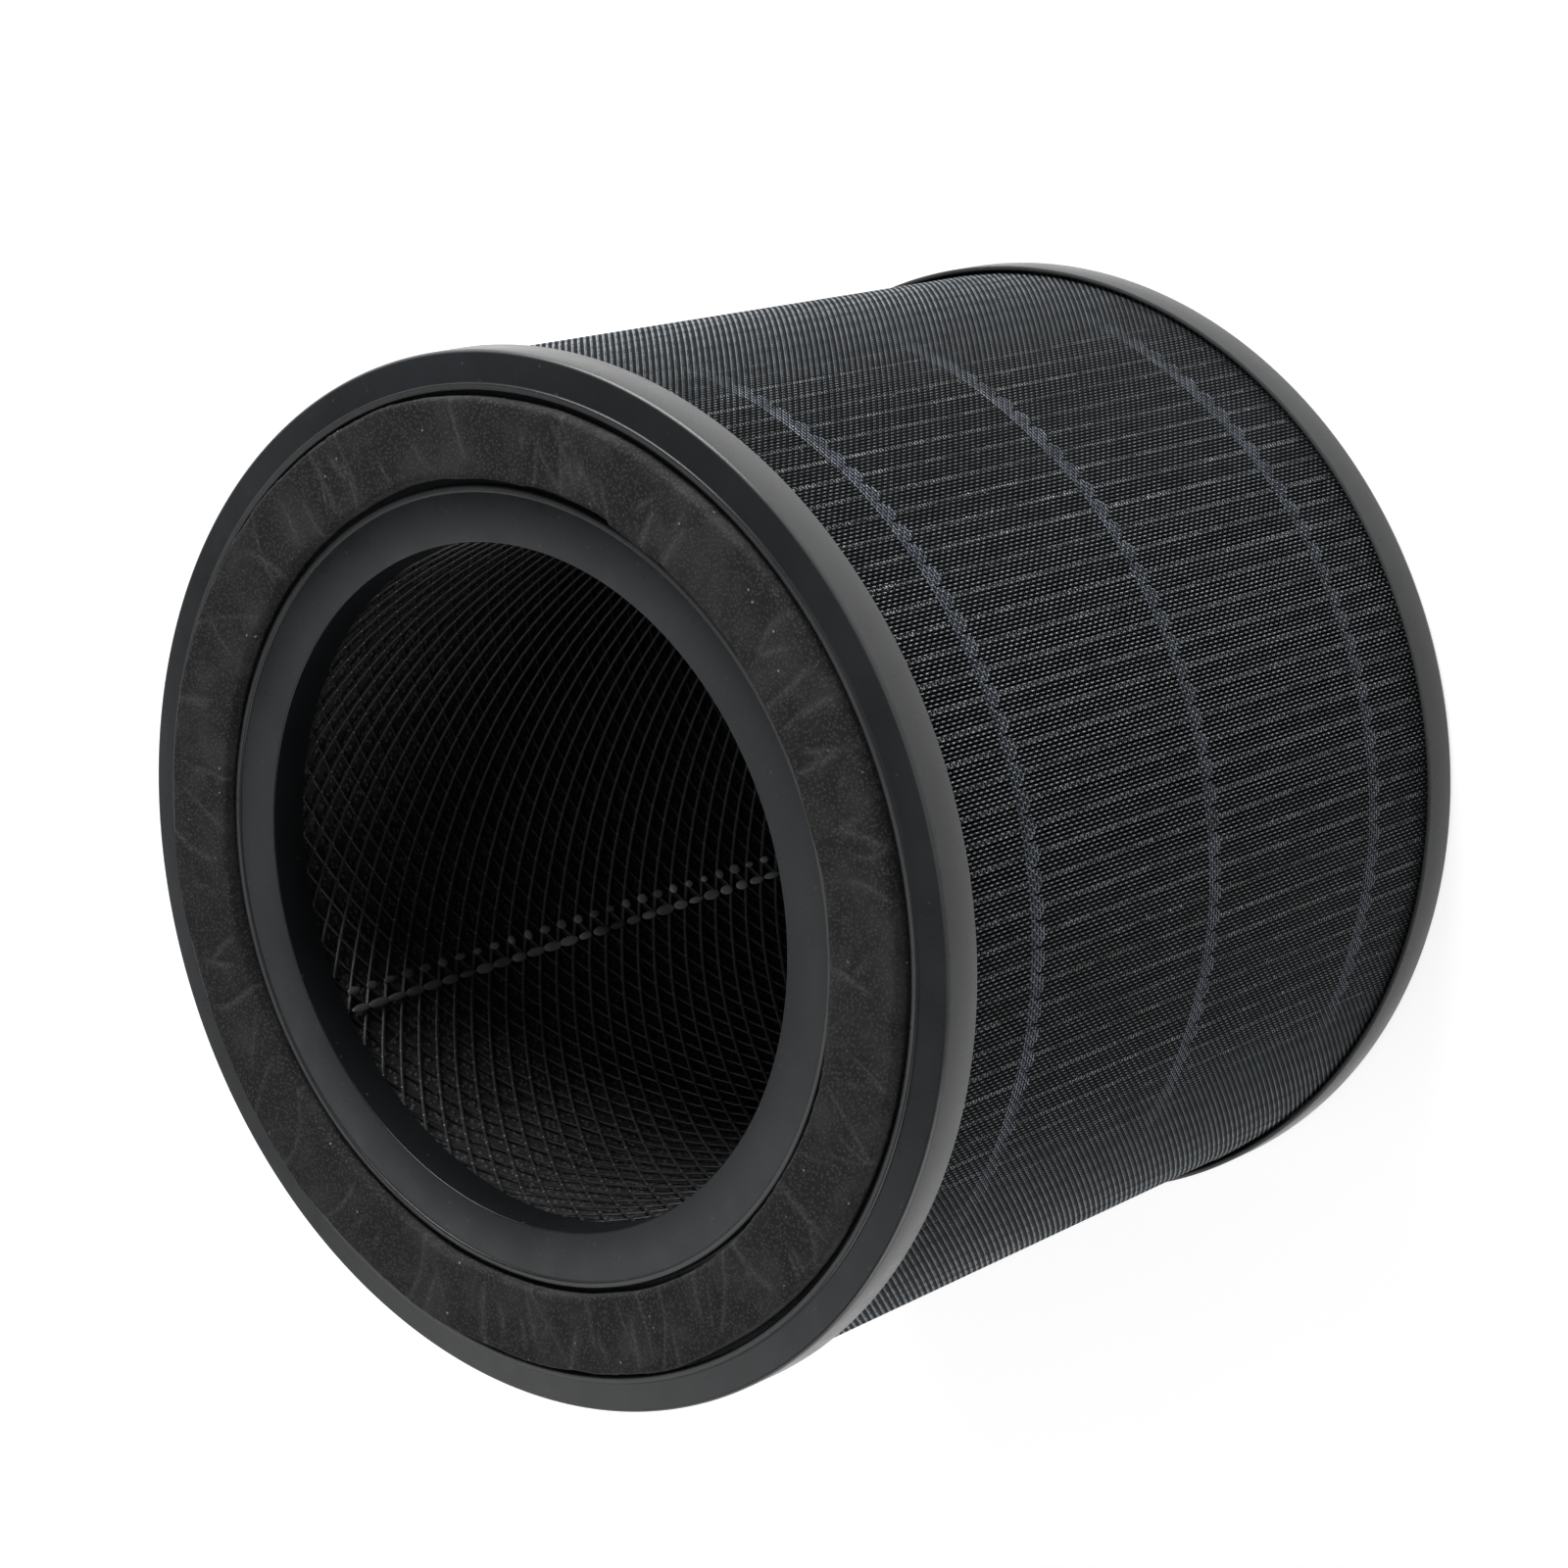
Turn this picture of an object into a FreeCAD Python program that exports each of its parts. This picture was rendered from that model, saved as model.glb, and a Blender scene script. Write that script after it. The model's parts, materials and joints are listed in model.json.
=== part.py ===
import FreeCAD, Part
import math
import os
import Sketcher

# Cylindrical air purifier filter, standing on its closed rear cap with its axis along +Z.
# Lengths are millimetres. The origin is the centre of the rear cap's back face.

os.makedirs("parts", exist_ok=True)
doc = FreeCAD.newDocument("air_purifier_filter")

# Driving dimensions: alias, value, what it measures
driving_sizes = (
    ("filter_height", 148.0, "back of the rear cap to the face of the front cap"),
    ("bore_radius", 58.5, "air outlet in the front cap"),
    ("collar_wall", 1.1, "collar around the bore"),
    ("collar_depth", 6.6, "collar's end below the cap's face"),
    ("mesh_gap", 0.3, "mesh tube outside the collar"),
    ("mesh_wall", 0.9, "thickness of the plastic mesh"),
    ("mesh_columns", 10, "mesh openings around the tube in one row"),
    ("mesh_rows", 3, "mesh openings above each other in one column"),
    ("mesh_strand", 4.0, "width of a mesh strand"),
    ("opening_turn", 90.0, "where around the axis the first column of openings lies"),
    ("lap_angle", 5.3, "angle that the mesh laps over itself"),
    ("lap_turn", 100.6, "where around the axis the lap lies"),
    ("lap_wall", 0.6, "how far the lap stands inward"),
    ("carbon_gap", 0.2, "carbon sheet outside the mesh"),
    ("carbon_wall", 2.6, "thickness of the carbon sheet"),
    ("pleat_gap", 0.3, "inner folds outside the carbon sheet"),
    ("pleat_depth", 21.95, "inner folds to outer folds"),
    ("pleat_count", 127, "folds around the filter medium"),
    ("paper_wall", 0.5, "thickness of the filter medium"),
    ("fold_width", 0.9, "flat width of a fold's tip"),
    ("bead_count", 3, "glue lines around the folds"),
    ("bead_front", 25.7, "first glue line below the front face"),
    ("bead_rear", 24.1, "last glue line above the rear cap's back"),
    ("bead_band", 0.9, "height of a glue line between two folds"),
    ("bead_lobe", 3.0, "height of a glue line over a fold's tip"),
    ("bead_wall", 0.35, "how far a glue line stands proud of the folds"),
    ("bead_gap", 0.05, "glue line outside the folds' tips"),
    ("net_gap", 0.1, "net outside the glue lines at its narrow end"),
    ("net_wall", 0.4, "thickness of the outer net"),
    ("net_columns", 24, "net openings around"),
    ("net_bar", 2.0, "width of the net's upright bars"),
    ("net_hoop", 3.0, "width of the net's hoops"),
    ("net_lip_gap", 0.2, "net's corners inside the rear cap's band"),
    ("cap_step", 0.6, "rear cap's outside inside that of the front cap"),
    ("cap_plate", 1.8, "floor of each cap"),
    ("skirt_height", 7.7, "depth of the band around each cap"),
    ("front_skirt_wall", 1.2, "wall of the front cap's band"),
    ("rear_skirt_wall", 0.9, "wall of the rear cap's band"),
    ("corner_cut", 0.8, "broken corner between a cap's band and its face"),
    ("land_rise", 0.6, "flat ring around the bore above the front face, as high as the inner rib"),
    ("rib_width", 1.3, "width of the rib outside the gasket"),
    ("rib_rise", 0.7, "height of the rib above the front face"),
    ("rim_width", 5.3, "front face outside the outer rib"),
    ("channel_depth", 0.7, "gasket channel below the front face"),
    ("gasket_width", 13.5, "foam ring, inner edge to outer edge"),
    ("gasket_rise", 2.9, "foam above the front face"),
    ("gasket_gap", 0.9, "free space between the foam and each rib"),
    ("potting_depth", 3.0, "adhesive that bonds the filter layers into a cap"),
    ("potting_gap", 0.2, "side clearance of the adhesive ring"),
)

sheet = doc.addObject("Spreadsheet::Sheet", "sizes")
for row, (alias, value, meaning) in enumerate(driving_sizes, start=1):
    sheet.set("A%d" % row, str(value))
    sheet.setAlias("A%d" % row, alias)
    sheet.set("B%d" % row, meaning)
doc.recompute()

# Seats worked out from the driving dimensions, so that what fits follows what it fits
seat_rules = (
    ("mesh_corner", "1 / cos(90 / sizes.mesh_columns)"),
    ("net_corner", "1 / cos(180 / sizes.net_columns)"),
    ("collar_outside", "sizes.bore_radius + sizes.collar_wall"),
    ("mesh_inside", "seats.collar_outside + sizes.mesh_gap"),
    ("mesh_outside", "seats.mesh_inside + sizes.mesh_wall"),
    ("carbon_inside", "seats.mesh_outside + sizes.carbon_gap"),
    ("carbon_outside", "seats.carbon_inside + sizes.carbon_wall"),
    ("pleat_root", "seats.carbon_outside * seats.mesh_corner + sizes.pleat_gap"),
    ("pleat_tip", "seats.pleat_root + sizes.pleat_depth"),
    ("bead_inside", "seats.pleat_tip + sizes.bead_gap"),
    ("bead_outside", "seats.bead_inside + sizes.bead_wall"),
    ("net_inside", "seats.bead_outside + sizes.net_gap"),
    ("net_outside", "seats.net_inside + sizes.net_wall"),
    ("rear_skirt_inside", "seats.net_outside * seats.net_corner + sizes.net_lip_gap"),
    ("rear_cap_radius", "seats.rear_skirt_inside + sizes.rear_skirt_wall"),
    ("cap_radius", "seats.rear_cap_radius + sizes.cap_step"),
    ("front_skirt_inside", "seats.cap_radius - sizes.front_skirt_wall"),
    ("rib_outside", "seats.cap_radius - sizes.rim_width"),
    ("channel_outside", "seats.rib_outside - sizes.rib_width"),
    ("gasket_outside", "seats.channel_outside - sizes.gasket_gap"),
    ("gasket_inside", "seats.gasket_outside - sizes.gasket_width"),
    ("channel_inside", "seats.gasket_inside - sizes.gasket_gap"),
    ("channel_floor", "sizes.filter_height - sizes.channel_depth"),
    ("front_floor", "sizes.filter_height - sizes.cap_plate"),
    ("front_seat", "seats.front_floor - sizes.potting_depth"),
    ("rear_seat", "sizes.cap_plate + sizes.potting_depth"),
    ("layer_length", "seats.front_seat - seats.rear_seat"),
)
seats = doc.addObject("App::VarSet", "seats")
for name, rule in seat_rules:
    seats.addProperty("App::PropertyFloat", name)
    seats.setExpression(name, rule)
doc.recompute()


def size(alias):
    """Value of one driving dimension."""
    return float(sheet.get(alias))


def seat(name):
    """Value of one worked-out seat."""
    return float(seats.getPropertyByName(name))


def origin_feature(body, role):
    """Origin plane or axis of a body, found by its role."""
    for feature in body.Origin.OriginFeatures:
        if feature.Role == role:
            return feature
    raise ValueError("no origin feature " + role)


def add_sketch(body, name, plane="XZ_Plane"):
    """Empty sketch on one of the body's own origin planes."""
    sketch = body.newObject("Sketcher::SketchObject", name)
    sketch.AttachmentSupport = [(origin_feature(body, plane), "")]
    sketch.MapMode = "FlatFace"
    return sketch


def draw_outline(sketch, corners):
    """Closed outline whose corners are bound to expressions for radius and height."""
    first = sketch.GeometryCount
    last = first + len(corners) - 1
    guesses = [FreeCAD.Vector(10.0 + 3.0 * math.cos(2.0 * math.pi * index / len(corners)),
                              10.0 + 3.0 * math.sin(2.0 * math.pi * index / len(corners)), 0.0)
               for index in range(len(corners))]
    for index, start in enumerate(guesses):
        end = guesses[(index + 1) % len(guesses)]
        sketch.addGeometry(Part.LineSegment(start, end), False)
    for line in range(first, last + 1):
        following = line + 1 if line < last else first
        sketch.addConstraint(Sketcher.Constraint("Coincident", line, 2, following, 1))
    for line, (across, up) in enumerate(corners, start=first):
        for kind, rule in (("DistanceX", across), ("DistanceY", up)):
            if rule == "0":
                axis = -2 if kind == "DistanceX" else -1
                sketch.addConstraint(Sketcher.Constraint("PointOnObject", line, 1, axis))
                continue
            number = sketch.addConstraint(Sketcher.Constraint(kind, -1, 1, line, 1, 10.0))
            sketch.setExpression("Constraints[%d]" % number, rule)


def revolved_body(label, corners):
    """Body of revolution about the filter's axis, from an outline of radius and height."""
    body = doc.addObject("PartDesign::Body", label)
    body.Label = label
    sketch = add_sketch(body, label + "_profile")
    draw_outline(sketch, corners)
    turned = body.newObject("PartDesign::Revolution", label + "_turned")
    turned.Profile = sketch
    turned.ReferenceAxis = (sketch, ["V_Axis"])
    turned.Angle = 360.0
    sketch.Visibility = False
    doc.recompute()
    return body


def ring_body(label, inside, outside, low, high):
    """Plain ring with a rectangular section."""
    return revolved_body(label, ((inside, low), (outside, low), (outside, high), (inside, high)))


def cut_inward(body, sketch, name):
    """Pocket from the axis out through the wall on one side only."""
    pocket = body.newObject("PartDesign::Pocket", name)
    pocket.Profile = sketch
    pocket.Type = "Length"
    pocket.setExpression("Length", "seats.cap_radius")
    sketch.Visibility = False
    doc.recompute()
    return pocket


def repeat_around(body, features, name, count):
    """Repeat features evenly around the filter's axis."""
    pattern = body.newObject("PartDesign::PolarPattern", name)
    pattern.Originals = features
    pattern.Axis = (origin_feature(body, "Z_Axis"), [""])
    pattern.Angle = 360.0
    pattern.setExpression("Occurrences", count)
    body.Tip = pattern
    doc.recompute()


def build_front_cap():
    """Moulded ring: band, face, gasket channel with its rib, land around the bore and collar."""
    face = "sizes.filter_height"
    land = "sizes.filter_height + sizes.land_rise"
    rib = "sizes.filter_height + sizes.rib_rise"
    collar_end = "sizes.filter_height - sizes.collar_depth"
    skirt_end = "sizes.filter_height - sizes.skirt_height"
    return revolved_body("front_end_cap", (
        ("sizes.bore_radius", collar_end),
        ("seats.collar_outside", collar_end),
        ("seats.collar_outside", "seats.front_floor"),
        ("seats.front_skirt_inside", "seats.front_floor"),
        ("seats.front_skirt_inside", skirt_end),
        ("seats.cap_radius", skirt_end),
        ("seats.cap_radius", face + " - sizes.corner_cut"),
        ("seats.cap_radius - sizes.corner_cut", face),
        ("seats.rib_outside", face),
        ("seats.rib_outside", rib),
        ("seats.channel_outside", rib),
        ("seats.channel_outside", "seats.channel_floor"),
        ("seats.channel_inside", "seats.channel_floor"),
        ("seats.channel_inside", land),
        ("sizes.bore_radius", land),
    ))


def build_rear_cap():
    """Closed moulded disc with a band around its edge."""
    return revolved_body("rear_end_cap", (
        ("0", "0"),
        ("seats.rear_cap_radius - sizes.corner_cut", "0"),
        ("seats.rear_cap_radius", "sizes.corner_cut"),
        ("seats.rear_cap_radius", "sizes.skirt_height"),
        ("seats.rear_skirt_inside", "sizes.skirt_height"),
        ("seats.rear_skirt_inside", "sizes.cap_plate"),
        ("0", "sizes.cap_plate"),
    ))


def build_gasket():
    """Foam ring, glued into the front cap's channel."""
    return ring_body("foam_gasket", "seats.gasket_inside", "seats.gasket_outside",
                     "seats.channel_floor", "sizes.filter_height + sizes.gasket_rise")


def add_prism(body, name, kind, sides, radius, low, height, turn):
    """Regular prism about the filter's axis, added to or taken from a body."""
    prism = body.newObject("PartDesign::%sPrism" % kind, name)
    prism.setExpression("Polygon", sides)
    prism.setExpression("Circumradius", radius)
    prism.setExpression("Height", height)
    prism.setExpression("Placement.Base.z", low)
    prism.setExpression("Placement.Rotation.Angle", turn)
    doc.recompute()


def layer_body(label, wrap, inside, outside, low="seats.rear_seat", height="seats.layer_length"):
    """Sleeve of flat strips, wrapped around the mesh or around the folds."""
    sides = "2 * sizes.mesh_columns" if wrap == "mesh" else "sizes.net_columns"
    half_side = " + 180 / sizes.net_columns"
    turn = "sizes.opening_turn" + ("" if wrap == "mesh" else half_side)
    corner = " * seats.%s_corner" % wrap
    body = doc.addObject("PartDesign::Body", label)
    body.Label = label
    add_prism(body, label + "_outside", "Additive", sides, "(" + outside + ")" + corner,
              low, height, turn)
    add_prism(body, label + "_inside", "Subtractive", sides, "(" + inside + ")" + corner,
              low, height, turn)
    return body


def build_layers():
    """The carbon sheet around the mesh, and the adhesive that holds every layer in the caps."""
    carbon = layer_body("carbon_sheet", "mesh", "seats.carbon_inside", "seats.carbon_outside")
    potting_inside = "seats.collar_outside + sizes.potting_gap"
    potting_outside = "(seats.rear_skirt_inside - sizes.potting_gap) / seats.net_corner"
    front = layer_body("front_potting", "net", potting_inside, potting_outside,
                       "seats.front_seat", "sizes.potting_depth")
    rear = layer_body("rear_potting", "net", potting_inside, potting_outside,
                      "sizes.cap_plate", "sizes.potting_depth")
    return [front, rear, carbon]


def draw_diamonds(sketch, count, first_step):
    """Column of diamonds above each other, one full height apart, starting part way up."""
    pitch = "(seats.layer_length / (sizes.mesh_rows + 0.5))"
    half_height = "(%s / 2 - sizes.mesh_strand / 2)" % pitch
    half_width = ("(seats.mesh_inside * sin(180 / sizes.mesh_columns) - sizes.mesh_strand / 2)")
    for index in range(count):
        middle = "(seats.rear_seat + %s * (%d + %s))" % (pitch, index, first_step)
        draw_outline(sketch, (
            (half_width, middle),
            ("0", "%s + %s" % (middle, half_height)),
            ("-%s" % half_width, middle),
            ("0", "%s - %s" % (middle, half_height)),
        ))


def build_mesh():
    """Rolled diamond mesh around the bore, folded at the diamonds' corners, with its lap."""
    body = layer_body("inner_mesh", "mesh", "seats.mesh_inside", "seats.mesh_outside")
    pockets = []
    for name, first_step, turn in (("even", "0.5", "0"), ("odd", "1", "180 / sizes.mesh_columns")):
        sketch = add_sketch(body, "mesh_%s_column" % name)
        sketch.AttachmentOffset = FreeCAD.Placement(
            FreeCAD.Vector(), FreeCAD.Rotation(FreeCAD.Vector(0, 1, 0), 1.0))
        sketch.setExpression("AttachmentOffset.Rotation.Angle", turn)
        draw_diamonds(sketch, int(size("mesh_rows")), first_step)
        pockets.append(cut_inward(body, sketch, "mesh_%s_openings" % name))
    repeat_around(body, pockets, "mesh_openings", "sizes.mesh_columns")

    lap = add_sketch(body, "mesh_lap")
    lap.AttachmentOffset = FreeCAD.Placement(
        FreeCAD.Vector(), FreeCAD.Rotation(FreeCAD.Vector(0, 1, 0), 1.0))
    lap.setExpression("AttachmentOffset.Rotation.Angle", "sizes.lap_turn")
    inside = "seats.mesh_inside - sizes.lap_wall"
    outside = "(seats.mesh_inside * seats.mesh_corner + seats.mesh_outside) / 2"
    low = "seats.rear_seat"
    high = "sizes.filter_height - sizes.collar_depth - sizes.mesh_gap"
    draw_outline(lap, ((inside, low), (outside, low), (outside, high), (inside, high)))
    strip = body.newObject("PartDesign::Revolution", "mesh_lap_strip")
    strip.Profile = lap
    strip.ReferenceAxis = (lap, ["V_Axis"])
    strip.Midplane = True
    strip.setExpression("Angle", "sizes.lap_angle")
    lap.Visibility = False
    doc.recompute()
    return body


def build_net():
    """Outer net: thin sleeve of upright bars and hoops, flat between two bars."""
    body = layer_body("outer_net", "net", "seats.net_inside", "seats.net_outside")
    half_width = "(seats.net_outside * tan(180 / sizes.net_columns) - sizes.net_bar / 2)"
    middle = "(seats.rear_seat + seats.layer_length / 2)"
    low = "sizes.skirt_height + sizes.net_hoop"
    high = "sizes.filter_height - sizes.skirt_height - sizes.net_hoop"
    sketch = add_sketch(body, "net_column")
    for bottom, top in ((low, middle + " - sizes.net_hoop / 2"),
                        (middle + " + sizes.net_hoop / 2", high)):
        draw_outline(sketch, (("-" + half_width, bottom), (half_width, bottom),
                              (half_width, top), ("-" + half_width, top)))
    pocket = cut_inward(body, sketch, "net_column_openings")
    repeat_around(body, [pocket], "net_openings", "sizes.net_columns")
    return body


def polar(radius, turn, height, across=0.0):
    """Point at a radius and an angle, moved sideways by a small distance."""
    outward = FreeCAD.Vector(math.cos(turn), math.sin(turn), 0.0)
    sideways = FreeCAD.Vector(-math.sin(turn), math.cos(turn), 0.0)
    return outward * radius + sideways * across + FreeCAD.Vector(0.0, 0.0, height)


def shape_node(label, shape):
    """Sub-part whose shape is worked out point by point."""
    node = doc.addObject("Part::Feature", label)
    node.Label = label
    node.Shape = shape
    node.Placement = FreeCAD.Placement()
    return node


def build_pleats():
    """Sheet folded into a closed ring: flat-topped folds outside and inside."""
    count = int(size("pleat_count"))
    step = 2.0 * math.pi / count
    wall = size("paper_wall")
    half_fold = size("fold_width") / 2.0
    tip = seat("pleat_tip")
    root = seat("pleat_root")
    low = seat("rear_seat")
    outer = []
    inner = []
    for index in range(count):
        turn = index * step
        outer += [polar(tip, turn, low, -half_fold), polar(tip, turn, low, half_fold),
                  polar(root + wall, turn + step / 2.0, low)]
        inner += [polar(tip - wall, turn, low),
                  polar(root, turn + step / 2.0, low, -half_fold),
                  polar(root, turn + step / 2.0, low, half_fold)]
    outline = Part.Wire(Part.makePolygon(outer + outer[:1]))
    hollow = Part.Wire(Part.makePolygon(inner + inner[:1]))
    section = Part.makeFace([outline, hollow], "Part::FaceMakerBullseye")
    height = FreeCAD.Vector(0.0, 0.0, seat("layer_length"))
    return shape_node("pleated_medium", section.extrude(height))


def flat_face(*points):
    """Planar face through its corners."""
    return Part.Face(Part.makePolygon(list(points) + [points[0]]))


def build_glue_bead(number):
    """Glue line around the folds: a thin band with one rounded lobe over every fold's tip."""
    count = int(size("pleat_count"))
    step = 2.0 * math.pi / count
    spaces = max(int(size("bead_count")) - 1, 1)
    pitch = (size("filter_height") - size("bead_front") - size("bead_rear")) / spaces
    top = size("filter_height") - size("bead_front") - number * pitch
    cusp = top - size("bead_band")
    lobe = top - size("bead_lobe")
    middle_to_corner = 1.0 / math.cos(step / 2.0)
    inside = seat("bead_inside") * middle_to_corner
    outside = seat("bead_outside")
    ridge = (top + cusp) / 2.0
    faces = []
    for index in range(count):
        left = (index - 0.5) * step
        right = (index + 0.5) * step
        outer_left = polar(outside, left, top)
        outer_right = polar(outside, right, top)
        cusp_left = polar(outside, left, cusp)
        cusp_right = polar(outside, right, cusp)
        tip = polar(outside / middle_to_corner, index * step, lobe)
        inner_left = polar(inside, left, ridge)
        inner_right = polar(inside, right, ridge)
        faces += [
            flat_face(outer_left, outer_right, cusp_right, tip, cusp_left),
            flat_face(outer_left, inner_left, inner_right, outer_right),
            flat_face(cusp_left, tip, inner_left),
            flat_face(inner_left, tip, inner_right),
            flat_face(inner_right, tip, cusp_right),
        ]
    shell = Part.makeShell(faces)
    shell.sewShape()
    return shape_node("glue_bead_%d" % (number + 1), Part.makeSolid(shell))


nodes = [build_front_cap(), build_rear_cap(), build_gasket()]
nodes += build_layers()
nodes += [build_mesh(), build_net(), build_pleats()]
nodes += [build_glue_bead(number) for number in range(int(size("bead_count")))]
doc.recompute()

for item in doc.Objects:
    if "Invalid" in item.State or "Error" in item.State:
        raise RuntimeError("%s did not build: %s" % (item.Label, item.State))
for node in nodes:
    if node.Shape.isNull() or not node.Shape.isValid() or len(node.Shape.Solids) != 1:
        raise RuntimeError("%s is not one valid solid" % node.Label)
for node in nodes:
    node.Shape.exportStep("parts/%s.step" % node.Label)
    print("%s: %.1f cm3" % (node.Label, node.Shape.Volume / 1000.0))
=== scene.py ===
import bpy
import json
import math
import random
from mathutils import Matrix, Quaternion, Vector, noise

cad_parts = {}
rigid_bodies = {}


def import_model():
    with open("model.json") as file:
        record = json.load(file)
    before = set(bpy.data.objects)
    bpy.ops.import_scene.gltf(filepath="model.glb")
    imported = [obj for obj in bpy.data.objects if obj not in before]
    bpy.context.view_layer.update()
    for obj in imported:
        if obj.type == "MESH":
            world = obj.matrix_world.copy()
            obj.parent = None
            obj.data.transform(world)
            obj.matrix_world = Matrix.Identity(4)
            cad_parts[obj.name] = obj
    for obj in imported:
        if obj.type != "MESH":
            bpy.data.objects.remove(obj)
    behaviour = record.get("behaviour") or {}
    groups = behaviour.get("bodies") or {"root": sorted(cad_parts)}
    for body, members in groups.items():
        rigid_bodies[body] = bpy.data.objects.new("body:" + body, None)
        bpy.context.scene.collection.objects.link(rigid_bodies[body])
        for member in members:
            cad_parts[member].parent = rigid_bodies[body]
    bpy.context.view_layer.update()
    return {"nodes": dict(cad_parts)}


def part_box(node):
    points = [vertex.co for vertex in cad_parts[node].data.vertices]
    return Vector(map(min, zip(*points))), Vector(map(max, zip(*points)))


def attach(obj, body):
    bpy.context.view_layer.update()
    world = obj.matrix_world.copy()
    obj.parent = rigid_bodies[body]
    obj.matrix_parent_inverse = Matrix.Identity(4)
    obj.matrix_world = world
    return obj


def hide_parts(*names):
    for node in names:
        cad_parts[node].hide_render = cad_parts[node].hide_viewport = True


# Round pleated air filter, standing on its closed cap. Metres, the row's own frame.

bpy.ops.object.select_all(action="SELECT")  # what Blender starts with
bpy.ops.object.delete()
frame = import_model()
mm = 0.001
fullTurn = 2 * math.pi
axisPoint = (0.0, 0.0, 0.0)
upward = (0.0, 0.0, 1.0)
meetingGap = 0.002  # mm between points that are one

# Places read from the solids, in mm
pleatLow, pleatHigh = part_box("pleated_medium")
layers = {
    "low": pleatLow.z / mm,
    "high": pleatHigh.z / mm,
    "folds": 127,
}


# Small helpers


def startClean():
    if bpy.context.object and bpy.context.object.mode != "OBJECT":
        bpy.ops.object.mode_set(mode="OBJECT")
    bpy.ops.object.select_all(action="DESELECT")


def makeActive(piece):
    startClean()
    piece.select_set(True)
    bpy.context.view_layer.objects.active = piece


def settle(piece):
    # the place, turn and size go into the mesh
    makeActive(piece)
    bpy.ops.object.transform_apply(location=True, rotation=True, scale=True)


def openAll():
    # edit mode with everything selected
    bpy.ops.object.mode_set(mode="EDIT")
    bpy.ops.mesh.select_all(action="SELECT")


def faceOutwards():
    bpy.ops.mesh.select_all(action="SELECT")
    bpy.ops.mesh.normals_make_consistent(inside=False)


def selectPoints(piece, wanted):
    # picks the vertices for which wanted(x, y, z) in mm is true
    bpy.ops.mesh.select_all(action="DESELECT")
    bpy.ops.mesh.select_mode(type="VERT")
    bpy.ops.object.mode_set(mode="OBJECT")
    for point in piece.data.vertices:
        point.select = wanted(*(value / mm for value in point.co))
    bpy.ops.object.mode_set(mode="EDIT")


def drawProfile(name, outline, lyingAt=None):
    # one vertex, extruded from corner to corner: outline is (radius, height) in mm, or (x, y) at a height
    if lyingAt is None:
        corners = [Vector((radius, 0.0, height)) * mm for radius, height in outline]
    else:
        corners = [Vector((x, y, lyingAt)) * mm for x, y in outline]
    startClean()
    bpy.ops.mesh.primitive_plane_add(size=mm, location=corners[0])
    piece = bpy.context.object
    piece.name = piece.data.name = name
    settle(piece)
    openAll()
    bpy.ops.mesh.merge(type="CENTER")
    for start, end in zip(corners, corners[1:]):
        bpy.ops.mesh.extrude_region_move(TRANSFORM_OT_translate={"value": end - start})
    bpy.ops.mesh.select_all(action="SELECT")
    bpy.ops.mesh.remove_doubles(threshold=0.001 * mm)
    return piece


def roundCorners(piece, corners, radius, segments=3):
    # the named corners of the profile get an arc
    def isCorner(x, y, z):
        return any(math.hypot(x - cornerX, z - cornerZ) < 0.01 for cornerX, cornerZ in corners)

    selectPoints(piece, isCorner)
    bpy.ops.mesh.bevel(offset=radius * mm, segments=segments, affect="VERTICES")


def spinRound(steps):
    # the profile being edited is turned once about the axis and closed
    bpy.ops.mesh.select_all(action="SELECT")
    bpy.ops.mesh.spin(steps=steps, angle=fullTurn, center=axisPoint, axis=upward)
    bpy.ops.mesh.select_all(action="SELECT")
    bpy.ops.mesh.remove_doubles(threshold=meetingGap * mm)
    faceOutwards()
    bpy.ops.object.mode_set(mode="OBJECT")


def pileUp(piece, step, count):
    # copies one above the other, step in mm
    pile = piece.modifiers.new("pile", "ARRAY")
    pile.use_relative_offset = False
    pile.use_constant_offset = True
    pile.constant_offset_displace = (0.0, 0.0, step * mm)
    pile.count = count
    bpy.ops.object.modifier_apply(modifier="pile")


def thicken(piece, thickness, offset):
    thick = piece.modifiers.new("thick", "SOLIDIFY")
    thick.thickness = thickness * mm
    thick.offset = offset
    makeActive(piece)
    bpy.ops.object.modifier_apply(modifier="thick")


def repeatRound(count, gap=meetingGap):
    # the shape being edited is copied round the axis, and neighbours that meet are merged
    bpy.ops.mesh.select_all(action="SELECT")
    bpy.ops.mesh.spin(steps=count, angle=fullTurn, dupli=True, center=axisPoint, axis=upward)
    bpy.ops.mesh.select_all(action="SELECT")
    bpy.ops.mesh.remove_doubles(threshold=gap * mm)
    bpy.ops.object.mode_set(mode="OBJECT")


def finishPiece(piece, replaced, angle=35.0):
    makeActive(piece)
    bpy.ops.object.shade_smooth_by_angle(angle=math.radians(angle))
    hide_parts(*replaced)
    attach(piece, "root")


def joinPieces(pieces, name):
    startClean()
    for piece in pieces:
        piece.select_set(True)
    bpy.context.view_layer.objects.active = pieces[0]
    bpy.ops.object.join()
    joined = bpy.context.object
    joined.name = joined.data.name = name
    return joined


# Camera: the photograph's angle, with the filter's axis lying across the picture

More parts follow.
